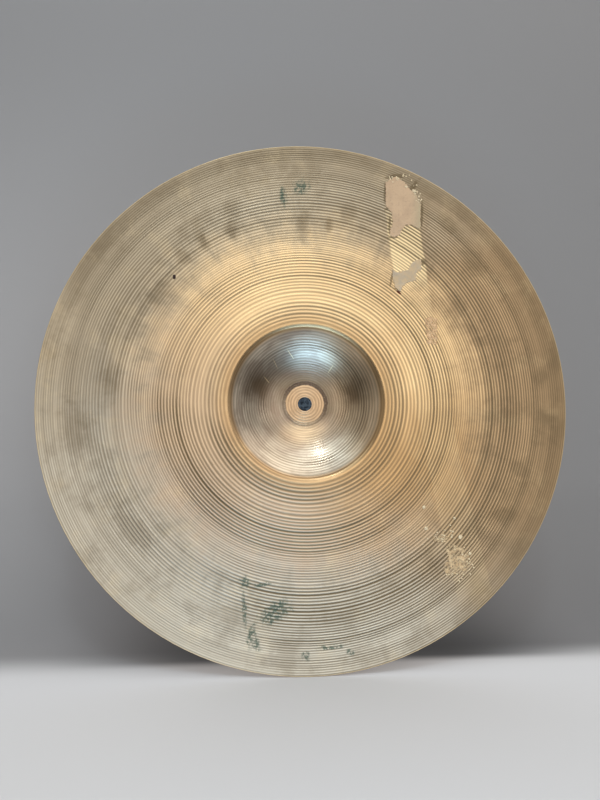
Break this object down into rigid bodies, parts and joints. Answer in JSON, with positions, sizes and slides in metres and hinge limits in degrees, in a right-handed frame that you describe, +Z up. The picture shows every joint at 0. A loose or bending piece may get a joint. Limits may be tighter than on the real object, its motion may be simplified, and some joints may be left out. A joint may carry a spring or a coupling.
{
  "type": "crash cymbal",
  "caption": "Thin lathed bronze crash cymbal with a domed bell, centre hole and shallow arched bow, old tape scraps on its underside.",
  "frame": {"origin": "centre of the mounting hole, half way through the wall", "axes": "the hole's axis runs along Y: the hollow underside faces -Y, the outside of the bell faces +Y; +Z is up, with the cymbal upright on its edge"},
  "size_m": [0.4572, 0.0475, 0.4572],
  "materials": {
    "bronze": "lathed and worn, patina outside, dull satin",
    "masking_tape": "aged creped masking tape, matt",
    "tape_film": "thin film of tape glue, satin",
    "old_glue": "dried glue, matt"
  },
  "bodies": {
    "root": {"cymbal": "bronze", "tape_strip": "masking_tape", "tape_scrap": "masking_tape", "tape_film": "tape_film", "glue_patches": "old_glue", "tape_crumbs": "old_glue"}
  },
  "joints": []
}
